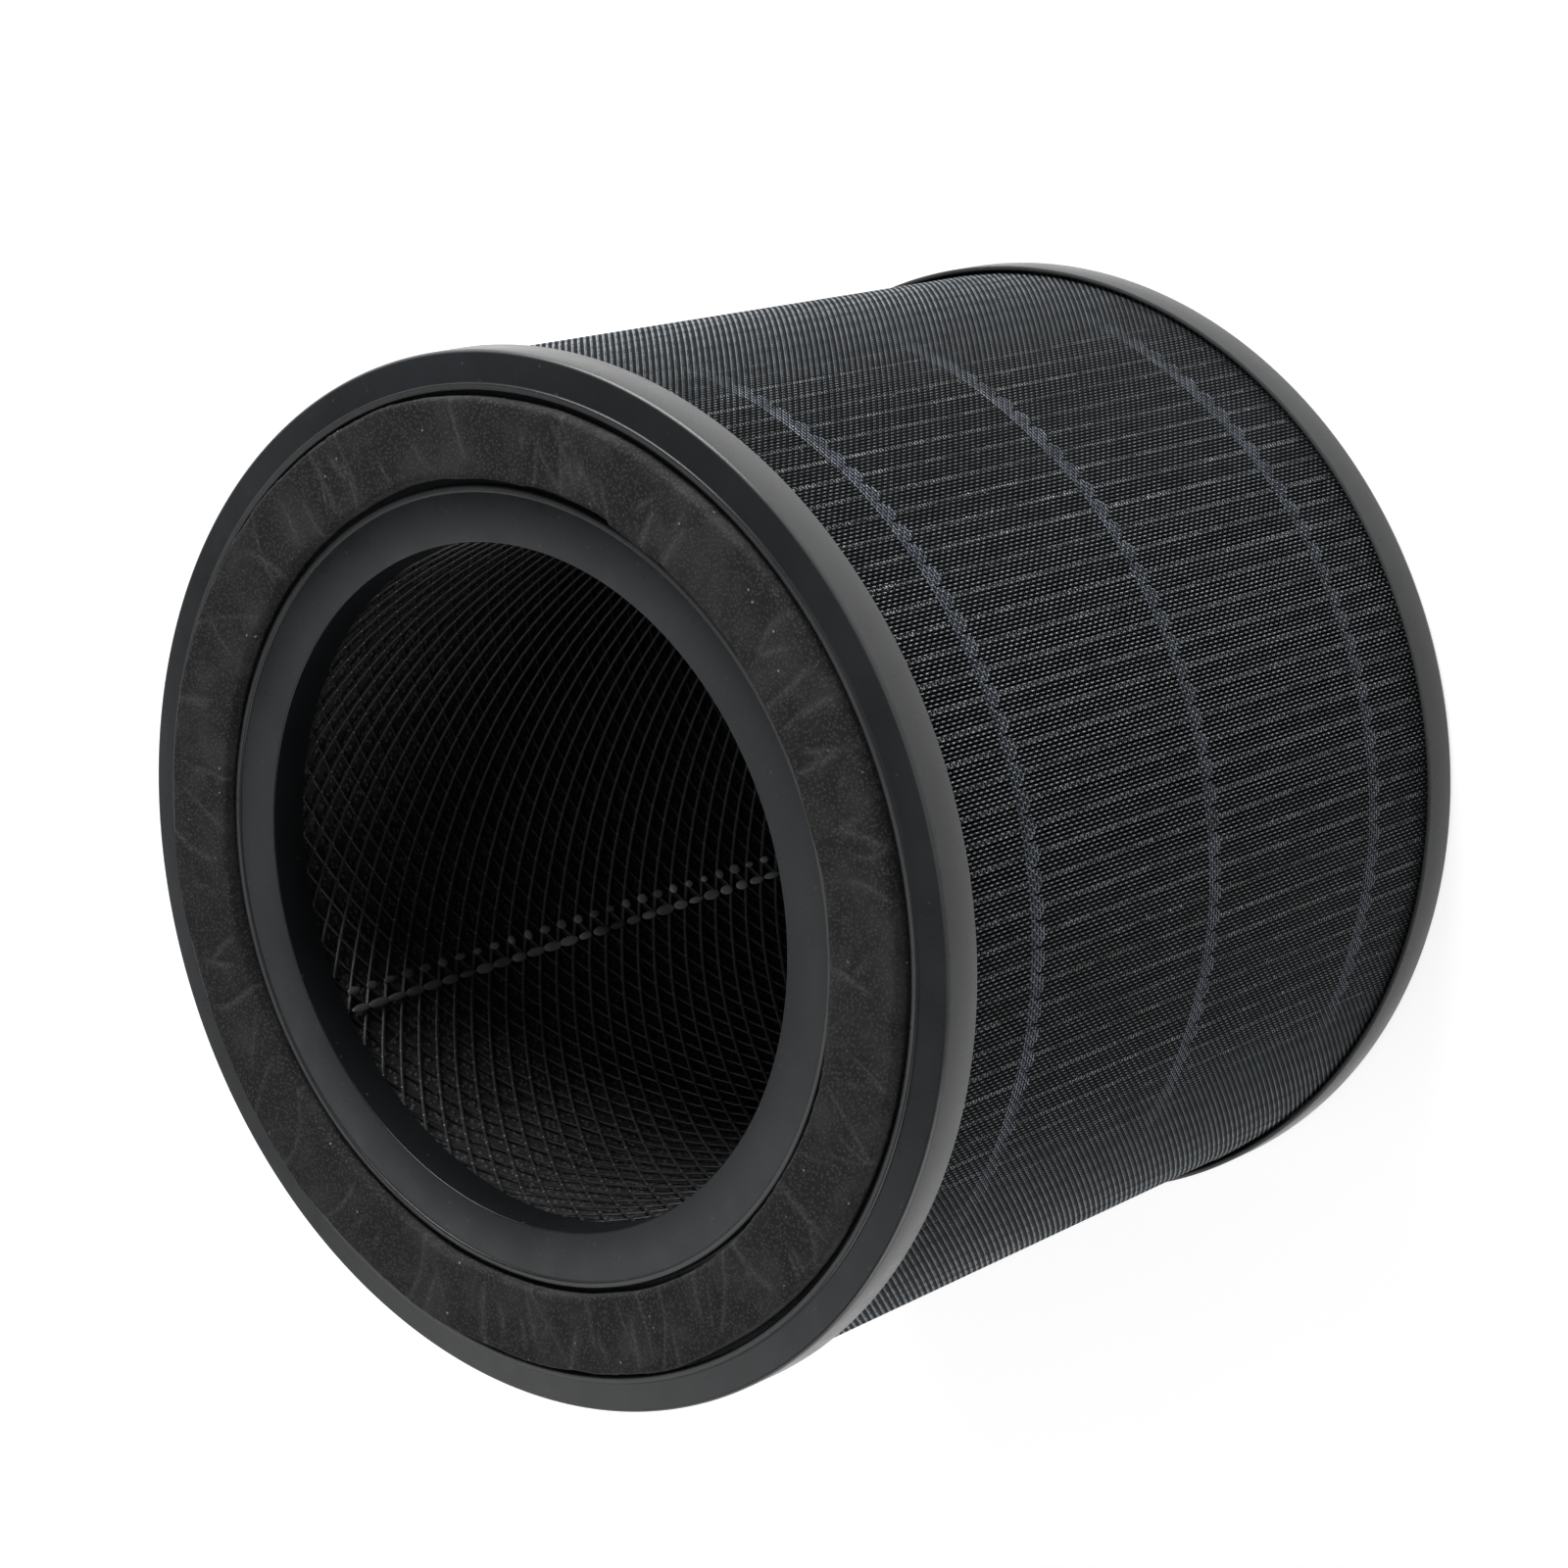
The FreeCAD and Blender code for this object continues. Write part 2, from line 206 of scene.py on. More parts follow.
cameraPlace = {
    "location": (0.0, -0.49783, 0.62526),
    "target": (0.0044, 0.0, 0.0778),
    "roll": -106.7,
    "lens": 95.17,
    "sensor": 36.0,
}
bpy.ops.object.camera_add(location=cameraPlace["location"])
camera = bpy.context.object
camera.name = "photoCamera"
camera.data.lens = cameraPlace["lens"]
camera.data.sensor_width = cameraPlace["sensor"]
camera.data.clip_start = 0.01
camera.data.clip_end = 20.0
sight = Vector(cameraPlace["target"]) - Vector(cameraPlace["location"])
turn = sight.to_track_quat("-Z", "Y") @ Quaternion((0, 0, 1), math.radians(cameraPlace["roll"]))
camera.rotation_mode = "QUATERNION"
camera.rotation_quaternion = turn
bpy.context.scene.camera = camera
print("scene: camera set")


# Front end cap: band, two ribs with the foam's channel between them, land and collar

frontCapShape = {
    "outer": 90.0,
    "face": 148.0,
    "rimFall": 0.4,         # the rim leans outwards: its edge lies this much lower
    "rimRise": 0.3,         # and its inside this much higher
    "skirtEnd": 140.3,
    "skirtInside": 88.8,
    "plateUnder": 146.2,
    "outerRib": (83.4, 84.7, 148.7),
    "channelFloor": 147.3,
    "innerRib": (66.8, 68.1, 148.9),
    "land": 148.6,
    "bore": 58.5,
    "collarOutside": 59.6,
    "collarEnd": 141.4,
    "rings": 320,
    "rimRound": 0.7,        # the radii of the corners
    "boreRound": 0.25,
    "ribRound": 0.3,
    "hollowRound": 0.2,
    "endRound": 0.3,
}


def makeFrontCap():
    shape = frontCapShape
    outside, bore = shape["outer"], shape["bore"]
    ribA, ribB = shape["outerRib"], shape["innerRib"]
    outline = [
        (outside, shape["skirtEnd"]),
        (outside, shape["face"] - shape["rimFall"]),
        (ribA[1], shape["face"] + shape["rimRise"]),
        (ribA[1], ribA[2]),
        (ribA[0], ribA[2]),
        (ribA[0], shape["channelFloor"]),
        (ribB[1], shape["channelFloor"]),
        (ribB[1], ribB[2]),
        (ribB[0], ribB[2]),
        (ribB[0], shape["land"]),
        (bore, shape["land"]),
        (bore, shape["collarEnd"]),
        (shape["collarOutside"], shape["collarEnd"]),
        (shape["collarOutside"], shape["plateUnder"]),
        (shape["skirtInside"], shape["plateUnder"]),
        (shape["skirtInside"], shape["skirtEnd"]),
        (outside, shape["skirtEnd"]),
    ]
    piece = drawProfile("frontCap", outline)
    roundCorners(piece, [outline[1]], shape["rimRound"], 5)
    roundCorners(piece, [outline[10]], shape["boreRound"], 3)
    roundCorners(piece, outline[3:5] + outline[7:9], shape["ribRound"], 3)
    roundCorners(piece, [outline[2], outline[9], outline[5], outline[6]], shape["hollowRound"], 2)
    roundCorners(piece, [outline[0], outline[11], outline[12], outline[15]], shape["endRound"], 2)
    spinRound(shape["rings"])
    finishPiece(piece, ["front_end_cap"])
    return piece


frontCap = makeFrontCap()
print("scene: front cap", len(frontCap.data.polygons))


# Rear end cap: closed disc with a band

rearCapShape = {
    "outer": 89.4,
    "inside": 88.5,
    "plate": 1.8,
    "skirtEnd": 7.7,
    "rings": 320,
    "hoops": (30.0, 60.0),      # extra rings of points on the plate
    "edgeRound": 1.5,
    "lipRound": 0.3,
    "footRound": 0.5,
}


def makeRearCap():
    shape = rearCapShape
    outline = [
        (0.0, 0.0),
        (shape["hoops"][0], 0.0),
        (shape["hoops"][1], 0.0),
        (shape["outer"], 0.0),
        (shape["outer"], shape["skirtEnd"]),
        (shape["inside"], shape["skirtEnd"]),
        (shape["inside"], shape["plate"]),
        (shape["hoops"][1], shape["plate"]),
        (shape["hoops"][0], shape["plate"]),
        (0.0, shape["plate"]),
    ]
    piece = drawProfile("rearCap", outline)
    roundCorners(piece, [outline[3]], shape["edgeRound"], 5)
    roundCorners(piece, [outline[4], outline[5]], shape["lipRound"], 2)
    roundCorners(piece, [outline[6]], shape["footRound"], 2)
    spinRound(shape["rings"])
    finishPiece(piece, ["rear_end_cap"])
    return piece


rearCap = makeRearCap()
print("scene: rear cap", len(rearCap.data.polygons))


# Foam gasket: open-cell ring, laid by hand, so its edges wander and its face is creased

foamShape = {
    "inner": 69.0,
    "outer": 82.5,
    "floor": 147.32,
    "top": 150.9,
    "steps": 1440,
    "topRound": 0.8,
    "faceCuts": 17,
    "seed": 11,
    "creases": 110,
    "wander": 0.75,
    "joint": -42.3,         # where the ring's two ends meet, in degrees
    "jointStep": 0.6,
    "jointFade": 40.0,
}


def makeFoam():
    shape = foamShape
    outline = [
        (shape["inner"], shape["floor"]),
        (shape["outer"], shape["floor"]),
        (shape["outer"], shape["top"]),
        (shape["inner"], shape["top"]),
        (shape["inner"], shape["floor"]),
    ]
    piece = drawProfile("gasketFoam", outline)
    roundCorners(piece, outline[2:4], shape["topRound"], 4)
    # the face gets enough points for its creases
    selectPoints(piece, lambda x, y, z: z > shape["top"] - 0.01)
    bpy.ops.mesh.subdivide(number_cuts=shape["faceCuts"])
    spinRound(shape["steps"])
    creaseFoam(piece)
    finishPiece(piece, ["foam_gasket"], 60.0)
    return piece


def creaseFoam(piece):
    shape = foamShape
    draw = random.Random(shape["seed"])
    middle = (shape["inner"] + shape["outer"]) / 2
    half = (shape["outer"] - shape["inner"]) / 2
    creases = []
    for creaseNumber in range(shape["creases"]):
        creases.append({
            "angle": draw.uniform(0.0, fullTurn),
            "slant": draw.gauss(0.0, 0.35),
            "bend": draw.gauss(0.0, 0.15),
            "width": draw.uniform(0.35, 1.1),
            "depth": draw.uniform(0.04, 0.2),
            "from": draw.uniform(-1.4, 0.2),
            "to": draw.uniform(0.0, 1.5),
        })
    bins = {}
    for crease in creases:
        place = int(math.degrees(crease["angle"]) // 10)
        for near in (-1, 0, 1):
            bins.setdefault((place + near) % 36, []).append(crease)
    mark = piece.data.attributes.new("crease", "FLOAT", "POINT")
    marks = []
    for point in piece.data.vertices:
        x, y, z = (value / mm for value in point.co)
        radius, angle = math.hypot(x, y), math.atan2(y, x) % fullTurn
        across = (radius - middle) / half
        height = (z - shape["floor"]) / (shape["top"] - shape["floor"])
        sway = Vector((math.cos(angle) * 9, math.sin(angle) * 9, across * 0.4))
        jitter = Vector((math.cos(angle) * 55, math.sin(angle) * 55, across * 2))
        wander = shape["wander"] * noise.noise(sway * 0.4)
        wander += 0.3 * noise.noise(sway) + 0.14 * noise.noise(jitter)
        shift = wander * abs(across) ** 2 * (0.35 + 0.65 * height)
        past = (math.degrees(angle) - shape["joint"]) % 360.0
        if across < 0.0 and past < shape["jointFade"]:
            fade = min(1.0, past * 2.0) * (1.0 - past / shape["jointFade"])
            shift += shape["jointStep"] * fade * abs(across)
        drop = 0.0
        light = 0.0
        for crease in bins.get(int(math.degrees(angle) // 10), ()):
            if crease["from"] > across or crease["to"] < across:
                continue
            line = crease["slant"] * across * half + crease["bend"] * half * across * across
            gap = ((angle - crease["angle"] + math.pi) % fullTurn - math.pi) * radius - line
            fall = math.exp(-(gap / crease["width"]) ** 2)
            ends = min(1.0, (across - crease["from"]) * 3, (crease["to"] - across) * 3)
            drop += crease["depth"] * fall * max(ends, 0.0)
            light = max(light, math.exp(-(gap / (crease["width"] * 0.6)) ** 2) * max(ends, 0.0))
        swell = 0.12 * noise.noise(sway * 1.7) * height
        radius += shift
        point.co.x = math.cos(angle) * radius * mm
        point.co.y = math.sin(angle) * radius * mm
        if height > 0.3:
            point.co.z = min(z - drop * height + swell - 0.1, shape["top"]) * mm
        marks.append(light * max(0.0, height))
    mark.data.foreach_set("value", marks)


gasketFoam = makeFoam()
print("scene: foam gasket", len(gasketFoam.data.polygons))


# Pleated paper: one fold drawn from root to root, turned into a closed sheet

paperShape = {
    "inner": 65.0,          # middle of the paper, in mm from the axis
    "outer": 86.35,
    "tipRound": 0.34,
    "rootRound": 0.3,
    "wall": 0.42,
    "storeys": 10,
    "sway": 0.3,
}


def quarterBend(start, bend):
    # (radius, distance to the side) along half of a rounded fold; bend is negative at a tip
    turns = [math.radians(30.0 * step) for step in range(4)]
    return [(start + bend * (1 - math.cos(turn)), abs(bend) * math.sin(turn)) for turn in turns]


def makePaper():
    shape = paperShape
    half = math.pi / layers["folds"]
    root = quarterBend(shape["inner"], shape["rootRound"])
    tip = quarterBend(shape["outer"], -shape["tipRound"])
    polar = [(radius, -half + side / radius) for radius, side in root]
    polar += [(radius, -side / radius) for radius, side in reversed(tip)]
    polar += [(radius, side / radius) for radius, side in tip[1:]]
    polar += [(radius, half - side / radius) for radius, side in reversed(root)]
    outline = [(radius * math.cos(angle), radius * math.sin(angle)) for radius, angle in polar]
    piece = drawProfile("pleatedPaper", outline, layers["low"])
    repeatRound(layers["folds"])
    openAll()
    storey = (layers["high"] - layers["low"]) / shape["storeys"]
    for storeyNumber in range(shape["storeys"]):
        bpy.ops.mesh.extrude_region_move(TRANSFORM_OT_translate={"value": (0.0, 0.0, storey * mm)})
    faceOutwards()
    bpy.ops.object.mode_set(mode="OBJECT")
    for point in piece.data.vertices:
        # folds lean a little from side to side between their two ends
        x, y, z = (value / mm for value in point.co)
        radius, angle = math.hypot(x, y), math.atan2(y, x)
        share = (z - layers["low"]) / (layers["high"] - layers["low"])
        free = math.sin(math.pi * share) * (radius - shape["inner"]) / (shape["outer"] - shape["inner"])
        fold = round(angle / fullTurn * layers["folds"]) % layers["folds"]
        lean = noise.noise(Vector((fold * 0.73, share * 3.1, 4.0))) * shape["sway"] * max(free, 0.0)
        angle += lean / radius
        point.co.x = math.cos(angle) * radius * mm
        point.co.y = math.sin(angle) * radius * mm
    thicken(piece, shape["wall"], 0.0)
    finishPiece(piece, ["pleated_medium"], 40.0)
    return piece


pleatedPaper = makePaper()
print("scene: pleated paper", len(pleatedPaper.data.polygons))


# Outer net: hoops and lengthwise threads, a little narrower towards the closed cap

netShape = {
    "frontRadius": 88.45,
    "rearRadius": 87.75,
    "hoopPitch": 0.76,
    "threads": 776,
    "depth": 0.13,          # half of a thread, towards the axis
    "hoopHalf": 0.07,
    "threadHalf": 0.14,
    "hoopSegments": 96,
    "firstHoop": 0.4,       # above the net's lower edge
    "wave": 0.15,
    "waveScale": 0.05,
    "waveFade": 12.0,       # no wave where the caps hold the net
    "drawnAt": 100.0,       # the hoops' radius before they shrink to the sleeve
}


def netRadius(height):
    shape = netShape
    share = (height - layers["low"]) / (layers["high"] - layers["low"])
    return shape["rearRadius"] + (shape["frontRadius"] - shape["rearRadius"]) * share


def makeNet():
    shape = netShape
    low, high = layers["low"], layers["high"]
    startClean()
    bpy.ops.mesh.primitive_torus_add(
        major_radius=shape["drawnAt"] * mm, minor_radius=shape["depth"] * mm,
        major_segments=shape["hoopSegments"], minor_segments=4,
        location=(0.0, 0.0, (low + shape["firstHoop"]) * mm))
    hoops = bpy.context.object
    hoops.scale.z = shape["hoopHalf"] / shape["depth"]
    settle(hoops)
    pileUp(hoops, shape["hoopPitch"], int((high - low) / shape["hoopPitch"]))
    for point in hoops.data.vertices:
        # each hoop shrinks to the sleeve's radius at its own height
        flat = math.hypot(point.co.x, point.co.y)
        wanted = netRadius(point.co.z / mm) * mm + (flat - shape["drawnAt"] * mm)
        point.co.x *= wanted / flat
        point.co.y *= wanted / flat
        height = point.co.z / mm
        free = min(1.0, (height - low) / shape["waveFade"], (high - height) / shape["waveFade"])
        wave = noise.noise(point.co / mm * shape["waveScale"]) * shape["wave"] * max(free, 0.0)
        point.co.z += wave * mm
    # one lengthwise thread, four-sided, turned round the axis
    startClean()
    bpy.ops.mesh.primitive_circle_add(
        vertices=4, radius=shape["depth"] * mm, fill_type="NGON",
        location=(netRadius(low) * mm, 0.0, low * mm))
    threads = bpy.context.object
    threads.scale.y = shape["threadHalf"] / shape["depth"]
    settle(threads)
    openAll()
    rise = (high - low) * mm
    lean = (netRadius(high) - netRadius(low)) * mm
    bpy.ops.mesh.extrude_region_move(TRANSFORM_OT_translate={"value": (lean, 0.0, rise)})
    faceOutwards()
    repeatRound(shape["threads"])
    for part, share in ((hoops, 0.0), (threads, 1.0)):
        mark = part.data.attributes.new("lengthwise", "FLOAT", "POINT")
        mark.data.foreach_set("value", [share] * len(part.data.vertices))
    piece = joinPieces([hoops, threads], "outerNet")
    finishPiece(piece, ["outer_net"], 60.0)
    return piece


outerNet = makeNet()
print("scene: outer net", len(outerNet.data.polygons))


# Inner mesh: two families of slanted strands and the strip where the sheet laps itself

liningShape = {
    "columns": 57,
    "cellHeight": 4.5,
    "steps": 40,
    "stout": (60.2, 0.36, 0.28),    # radius, half width, half thickness
    "slim": (60.56, 0.28, 0.22),
    "lapStrand": (59.95, 0.26, 0.2),
    "lapAngle": 99.6,
    "lapWidth": 3.3,
    "endGap": 0.2,                  # between the strands and the caps
    "knotRadius": 60.1,
    "knot": (0.3, 0.5, 0.4),        # towards the axis, around, along
    "blobPitch": 4.5,
    "blobRadius": 59.68,
    "blob": (0.26, 0.8, 1.1),
    "blobRows": (1.15, 2.0),        # how long the lumps of each row are drawn out
    "blobSpread": (0.75, 1.25),
    "blobEnds": (2.0, 1.5),
    "seed": 5,
}


def makeKnotRows():
    # the strands are welded where they cross, in rows half a cell apart
    shape = liningShape
    rows = []
    for shift in (0.0, 0.5):
        startClean()
        height = layers["low"] + shape["endGap"] + shape["cellHeight"] * shift
        bpy.ops.mesh.primitive_ico_sphere_add(
            subdivisions=1, radius=mm, location=(shape["knotRadius"] * mm, 0.0, height * mm))
        row = bpy.context.object
        row.scale = shape["knot"]
        settle(row)
        openAll()
        bpy.ops.transform.rotate(
            value=-shift * fullTurn / shape["columns"], orient_axis="Z", center_override=axisPoint)
        repeatRound(shape["columns"])
        pileUp(row, shape["cellHeight"], int((layers["high"] - height) / shape["cellHeight"]) + 1)
        rows.append(row)
    return rows


def makeStrands(measures, hand, name):
    shape = liningShape
    radius, halfWide, halfThick = measures
    low, high = layers["low"] + shape["endGap"], layers["high"] - shape["endGap"]
    startClean()
    bpy.ops.mesh.primitive_circle_add(
        vertices=6, radius=mm, fill_type="NOTHING", location=(radius * mm, 0.0, low * mm),
        rotation=(math.radians(90.0), 0.0, 0.0))
    piece = bpy.context.object
    piece.name = piece.data.name = name
    piece.scale = (halfThick, halfWide, 1.0)
    settle(piece)
    turns = (high - low) / shape["cellHeight"] / shape["columns"]
    climb = piece.modifiers.new("climb", "SCREW")
    climb.axis = "Z"
    climb.angle = hand * turns * fullTurn
    climb.screw_offset = (high - low) * mm
    climb.steps = climb.render_steps = shape["steps"]
    bpy.ops.object.modifier_apply(modifier="climb")
    openAll()
    bpy.ops.mesh.fill_holes(sides=6)
    faceOutwards()
    repeatRound(shape["columns"])
    return piece


def makeLap():
    # the overlapping strip: the same strands, cut to a narrow wedge and moved inwards
    shape = liningShape
    families = [makeStrands(shape["lapStrand"], 1, "lapA"), makeStrands(shape["lapStrand"], -1, "lapB")]
    piece = joinPieces(families, "lap")
    middle = math.radians(shape["lapAngle"])
    half = math.radians(shape["lapWidth"] / 2)
    bpy.ops.object.mode_set(mode="EDIT")
    for edge, side in ((middle - half, -1), (middle + half, 1)):
        bpy.ops.mesh.select_all(action="SELECT")
        outwards = (-math.sin(edge) * side, math.cos(edge) * side, 0.0)
        bpy.ops.mesh.bisect(plane_co=axisPoint, plane_no=outwards, clear_outer=True, use_fill=True)
    bpy.ops.object.mode_set(mode="OBJECT")
    return piece


def makeBlobs():
    # soft lumps where the two edges of the sheet are welded
    shape = liningShape
    draw = random.Random(shape["seed"])
    blobs = []
    middle = math.radians(shape["lapAngle"])
    half = math.radians(shape["lapWidth"] / 2)
    for edge, stretch in zip((middle - half, middle + half), shape["blobRows"]):
        height = layers["low"] + shape["blobEnds"][0]
        while height < layers["high"] - shape["blobEnds"][1]:
            startClean()
            bpy.ops.mesh.primitive_ico_sphere_add(subdivisions=2, radius=mm)
            blob = bpy.context.object
            blob.scale = [reach * draw.uniform(*shape["blobSpread"]) for reach in shape["blob"]]
            blob.scale.z *= stretch
            blob.rotation_euler = (0.0, 0.0, edge)
            radius = shape["blobRadius"]
            blob.location = (math.cos(edge) * radius * mm, math.sin(edge) * radius * mm, height * mm)
            settle(blob)
            blobs.append(blob)
            height += shape["blobPitch"]
    return blobs


def makeLining():
    shape = liningShape
    families = [
        makeStrands(shape["stout"], 1, "strandsA"),
        makeStrands(shape["slim"], -1, "strandsB"),
    ]
    piece = joinPieces(families + makeKnotRows() + [makeLap()] + makeBlobs(), "innerMesh")
    finishPiece(piece, ["inner_mesh"], 50.0)
    return piece


innerMesh = makeLining()
print("scene: inner mesh", len(innerMesh.data.polygons))


# Glue lines: a rounded scallop over every fold, modelled once and turned round the axis

glueShape = {
    "inside": 86.7,
    "rise": 0.8,
    "band": 0.9,
    "lobe": 3.8,
    "across": 8,
    "along": 7,
    "skin": 0.12,
    "gap": 0.004,
}


def makeGlue(name, node):
    shape = glueShape
    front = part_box(node)[1].z / mm
    pitch = fullTurn / layers["folds"]
    startClean()
    bpy.ops.mesh.primitive_grid_add(x_subdivisions=shape["across"], y_subdivisions=shape["along"], size=2.0)
    piece = bpy.context.object
    piece.name = piece.data.name = name
    rims = []
    for point in piece.data.vertices:
        # x goes from cusp to cusp, y from the straight front edge to the lobe's tip
        side, depth = point.co.x, (1.0 - point.co.y) / 2
        reach = shape["band"] + (shape["lobe"] - shape["band"]) * math.sqrt(max(0.0, 1.0 - side * side))
        dome = math.sin(math.pi * min(max(depth, 0.0), 1.0)) ** 0.6 if 0.0 < depth < 1.0 else 0.0
        crown = 0.55 + 0.45 * (1.0 - side * side)
        radius = shape["inside"] + shape["rise"] * dome * crown
        angle = side * pitch / 2
        height = front - depth * reach
        point.co = (math.cos(angle) * radius * mm, math.sin(angle) * radius * mm, height * mm)
        # the rim mark is where the glue's material paints a highlight
        rims.append(min(1.0, max(0.0, depth * 2.4 - 1.0)))
    mark = piece.data.attributes.new("rim", "FLOAT", "POINT")
    mark.data.foreach_set("value", rims)
    makeActive(piece)
    bpy.ops.object.mode_set(mode="EDIT")
    repeatRound(layers["folds"], shape["gap"])
    thicken(piece, shape["skin"], -1.0)
    finishPiece(piece, [node], 60.0)
    return piece


glueLines = [makeGlue("glueLine%d" % number, "glue_bead_%d" % number) for number in (1, 2, 3)]
print("scene: glue lines", len(glueLines[0].data.polygons))


# Node helpers and the effects that several finishes share


def feed(tree, socket, value):
    # value is a number, a colour or another node's output
    if isinstance(value, bpy.types.NodeSocket):
        tree.links.new(value, socket)
    else:
        socket.default_value = value


def addNode(tree, kind, inputs=None, **settings):
    # inputs go by the input's name or number
    made = tree.nodes.new(kind)
    for name, value in settings.items():
        setattr(made, name, value)
    for name, value in (inputs or {}).items():
        feed(tree, made.inputs[name], value)
    return made


def calculate(tree, operation, first, second=0.0, third=0.0):
    values = {0: first, 1: second, 2: third}
    return addNode(tree, "ShaderNodeMath", values, operation=operation).outputs[0]


def scaleRange(tree, value, fromLow, fromHigh, toLow=0.0, toHigh=1.0, style="SMOOTHSTEP"):
    limits = {"Value": value, "From Min": fromLow, "From Max": fromHigh, "To Min": toLow, "To Max": toHigh}
    return addNode(tree, "ShaderNodeMapRange", limits, interpolation_type=style).outputs["Result"]


def blend(tree, share, first, second):
    made = addNode(tree, "ShaderNodeMix", data_type="RGBA")
    colours = [socket for socket in made.inputs if socket.type == "RGBA"]
    for socket, value in ((made.inputs[0], share), (colours[0], first), (colours[1], second)):
        feed(tree, socket, value)
    return [socket for socket in made.outputs if socket.type == "RGBA"][0]


def noiseOf(tree, place, scale, detail=2.0, roughness=0.5):
    values = {"Vector": place, "Scale": scale, "Detail": detail, "Roughness": roughness}
    return addNode(tree, "ShaderNodeTexNoise", values).outputs["Fac"]


def grey(level, warm=0.0):
    return (level * (1.0 + warm), level, level * (1.0 - warm), 1.0)


def newGroup(name, inputs, outputs):
    group = bpy.data.node_groups.new(name, "ShaderNodeTree")
    for label, kind, value in inputs:
        socket = group.interface.new_socket(name=label, in_out="INPUT", socket_type=kind)
        if value is not None:
            socket.default_value = value
    for label, kind in outputs:
        group.interface.new_socket(name=label, in_out="OUTPUT", socket_type=kind)
    return group, addNode(group, "NodeGroupInput").outputs, addNode(group, "NodeGroupOutput").inputs


numberSocket, vectorSocket = "NodeSocketFloat", "NodeSocketVector"


def makeRoundPlace():
    # where a point lies on a round piece: radius and height in mm, angle in turns
    group, given, result = newGroup(
        "roundPlace", [("Vector", vectorSocket, None)],
        [("Radius", numberSocket), ("Angle", numberSocket), ("Height", numberSocket)])
    parts = addNode(group, "ShaderNodeSeparateXYZ", {0: given["Vector"]}).outputs
    square = calculate(group, "MULTIPLY", parts["X"], parts["X"])
    square = calculate(group, "MULTIPLY_ADD", parts["Y"], parts["Y"], square)
    radius = calculate(group, "MULTIPLY", calculate(group, "SQRT", square), 1.0 / mm)
    turns = calculate(group, "DIVIDE", calculate(group, "ARCTAN2", parts["Y"], parts["X"]), fullTurn)
    group.links.new(radius, result["Radius"])
    group.links.new(turns, result["Angle"])
    group.links.new(calculate(group, "MULTIPLY", parts["Z"], 1.0 / mm), result["Height"])
    return group


def makeMouldedGrain():
    # fine spark-eroded grain of a moulding, with faint clouding
    group, given, result = newGroup(
        "mouldedGrain",
        [("Vector", vectorSocket, None), ("Grain Scale", numberSocket, 2600.0),
         ("Cloud Scale", numberSocket, 28.0)],
        [("Grain", numberSocket), ("Cloud", numberSocket), ("Flow", numberSocket)])
    grain = noiseOf(group, given["Vector"], given["Grain Scale"], 3.0, 0.6)
    cloud = noiseOf(group, given["Vector"], given["Cloud Scale"], 4.0, 0.55)
    flow = noiseOf(group, given["Vector"], calculate(group, "MULTIPLY", given["Cloud Scale"], 7.0), 2.0)
    group.links.new(grain, result["Grain"])
    group.links.new(cloud, result["Cloud"])
    group.links.new(flow, result["Flow"])
    return group


def makeDust():
    # small pale specks of lint, sparse where Amount is low
    group, given, result = newGroup(
        "dust", [("Vector", vectorSocket, None), ("Scale", numberSocket, 900.0), ("Amount", numberSocket, 0.1)],
        [("Mask", numberSocket)])
    cells = addNode(group, "ShaderNodeTexVoronoi", {"Vector": given["Vector"], "Scale": given["Scale"]})
    parts = addNode(group, "ShaderNodeSeparateColor", {0: cells.outputs["Color"]}).outputs
    chosen = calculate(group, "LESS_THAN", parts[0], given["Amount"])
    near = scaleRange(group, cells.outputs["Distance"], 0.45, 0.15)
    group.links.new(calculate(group, "MULTIPLY", chosen, near), result["Mask"])
    return group


roundPlaceGroup = makeRoundPlace()
mouldedGrainGroup = makeMouldedGrain()
dustGroup = makeDust()


def useGroup(tree, group, inputs):
    return addNode(tree, "ShaderNodeGroup", inputs, node_tree=group).outputs


def startMaterial(name):
    material = bpy.data.materials.new(name)
    material.use_nodes = True
    tree = material.node_tree
    tree.nodes.clear()
    place = addNode(tree, "ShaderNodeTexCoord").outputs["Object"]
    shader = addNode(tree, "ShaderNodeBsdfPrincipled")
    addNode(tree, "ShaderNodeOutputMaterial", {"Surface": shader.outputs["BSDF"]})
    material.diffuse_color = (0.05, 0.05, 0.05, 1.0)
    return material, tree, place, shader


def wearRelief(tree, shader, height, depth):
    # depth is the relief in mm
    bump = addNode(tree, "ShaderNodeBump", {"Height": height, "Distance": depth * mm, "Strength": 1.0})
    tree.links.new(bump.outputs["Normal"], shader.inputs["Normal"])


def paint(piece, material):
    if piece.data.materials:
        for index in range(len(piece.data.materials)):
            piece.data.materials[index] = material
    else:
        piece.data.materials.append(material)


# Finishes

capFinish = {
    "dark": 0.017,
    "light": 0.025,
    # painted highlight along the rims and rib edges
    "edgeHighlight": 0.1,
    "edgeHighlightShare": 0.5,
    # painted shade on the bore's wall
    "boreShade": 0.003,
    "boreShadeShare": 0.75,
    "speck": 0.12,
    "roughness": (0.25, 0.33),
    "specular": 0.23,
    "relief": 0.013,            # mm
    "frontHighlightEdges": [(89.85, 0.4), (84.05, 0.5), (67.45, 0.45)],   # radius and half width, in mm
    "rearHighlightEdges": [(89.2, 0.8)],
}


